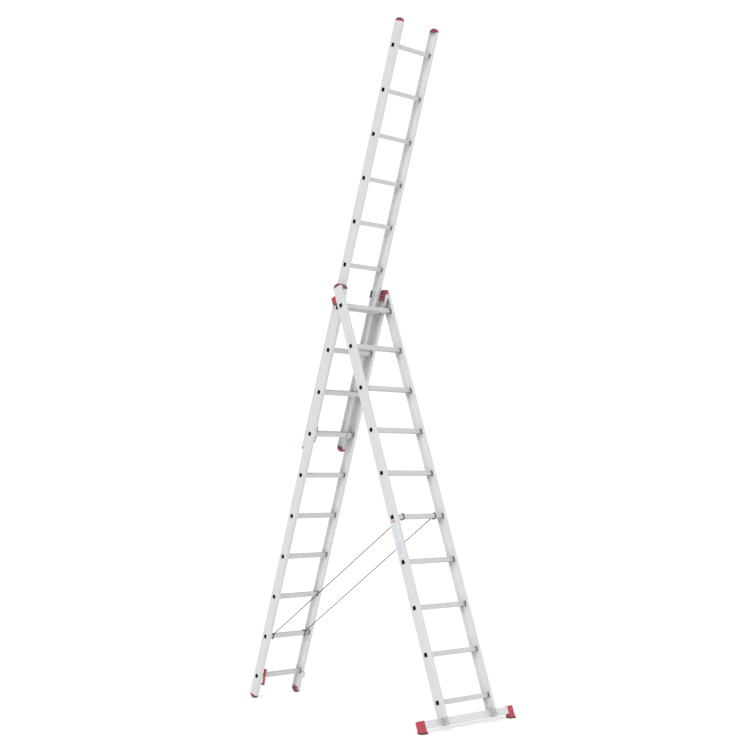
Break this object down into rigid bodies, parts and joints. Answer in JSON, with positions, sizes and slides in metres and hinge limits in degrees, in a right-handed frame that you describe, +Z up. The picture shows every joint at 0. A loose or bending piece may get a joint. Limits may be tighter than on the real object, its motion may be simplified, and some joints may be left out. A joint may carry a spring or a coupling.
{
  "type": "combination extension ladder",
  "caption": "Aluminium combination ladder standing as a step ladder, with its third section run out above the hinge and a wide crossbar with rubber shoes at the front leg.",
  "frame": {"origin": "centre of the footprint, on the floor", "axes": "+Z up, +Y from the front leg with the crossbar towards the rear leg, X along the rungs"},
  "size_m": [0.8188, 1.8235, 4.3002],
  "materials": {
    "stile": "satin extruded",
    "rung": "satin, fluted",
    "crossbar": "satin extruded",
    "red_plastic": "moulded",
    "grey_plastic": "moulded",
    "rubber": "matt",
    "steel": "zinc plated",
    "black_plastic": "moulded",
    "rope": "twisted strands",
    "label": "printed film"
  },
  "bodies": {
    "front_section": {"front_stile_left": "stile", "front_stile_right": "stile", "front_rungs": "rung", "front_cap_left": "red_plastic", "front_cap_right": "red_plastic", "front_guide_left": "red_plastic", "front_guide_right": "red_plastic", "hinge_pin_left": "steel", "hinge_pin_right": "steel", "hinge_spacer_left": "steel", "hinge_spacer_right": "steel", "crossbar": "crossbar", "crossbar_bracket_left": "grey_plastic", "crossbar_bracket_right": "grey_plastic", "crossbar_bolts": "steel", "shoe_left": "red_plastic", "shoe_right": "red_plastic", "shoe_sole_left": "rubber", "shoe_sole_right": "rubber", "rope_left": "rope", "rope_right": "rope", "rope_front_loop_left": "rope", "rope_front_loop_right": "rope", "front_label": "label"},
    "rear_section": {"rear_stile_left": "stile", "rear_stile_right": "stile", "rear_rungs": "rung", "rear_cap_left": "red_plastic", "rear_cap_right": "red_plastic", "rear_foot_left": "red_plastic", "rear_foot_right": "red_plastic", "rear_tread_left": "rubber", "rear_tread_right": "rubber", "rear_guide_left": "black_plastic", "rear_guide_right": "black_plastic", "rear_hook": "steel", "rear_hook_rivets": "steel", "rear_latch_bracket": "steel", "rear_latch_pin": "steel", "rope_rear_loop_left": "rope", "rope_rear_loop_right": "rope"},
    "rear_latch": {"rear_safety_latch": "red_plastic"},
    "extension_section": {"extension_stile_left": "stile", "extension_stile_right": "stile", "extension_rungs": "rung", "extension_cap_left": "red_plastic", "extension_cap_right": "red_plastic", "extension_foot_left": "red_plastic", "extension_foot_right": "red_plastic", "extension_hook": "steel", "extension_hook_rivets": "steel", "extension_latch_bracket": "steel", "extension_latch_pin": "steel"},
    "extension_latch": {"extension_safety_latch": "red_plastic"}
  },
  "joints": [
    {"name": "rear_leg_fold", "type": "hinge", "parent": "front_section", "child": "rear_section", "pos_m": [0, 0, 2.55216], "axis": [1, 0, 0], "range_deg": [-36.2, 0], "deforming": ["rope_left", "rope_right"]},
    {"name": "extension_slide", "type": "slide", "parent": "rear_section", "child": "extension_section", "axis": [0, 0.3206, -0.9472], "range_m": [0, 1.68]},
    {"name": "rear_latch_pivot", "type": "hinge", "parent": "rear_section", "child": "rear_latch", "pos_m": [-0.1515, 0.81429, 0.14021], "axis": [1, 0, 0], "range_deg": [0, 8]},
    {"name": "extension_latch_pivot", "type": "hinge", "parent": "extension_section", "child": "extension_latch", "pos_m": [-0.124, 0.32432, 1.7406], "axis": [1, 0, 0], "range_deg": [0, 8]}
  ]
}
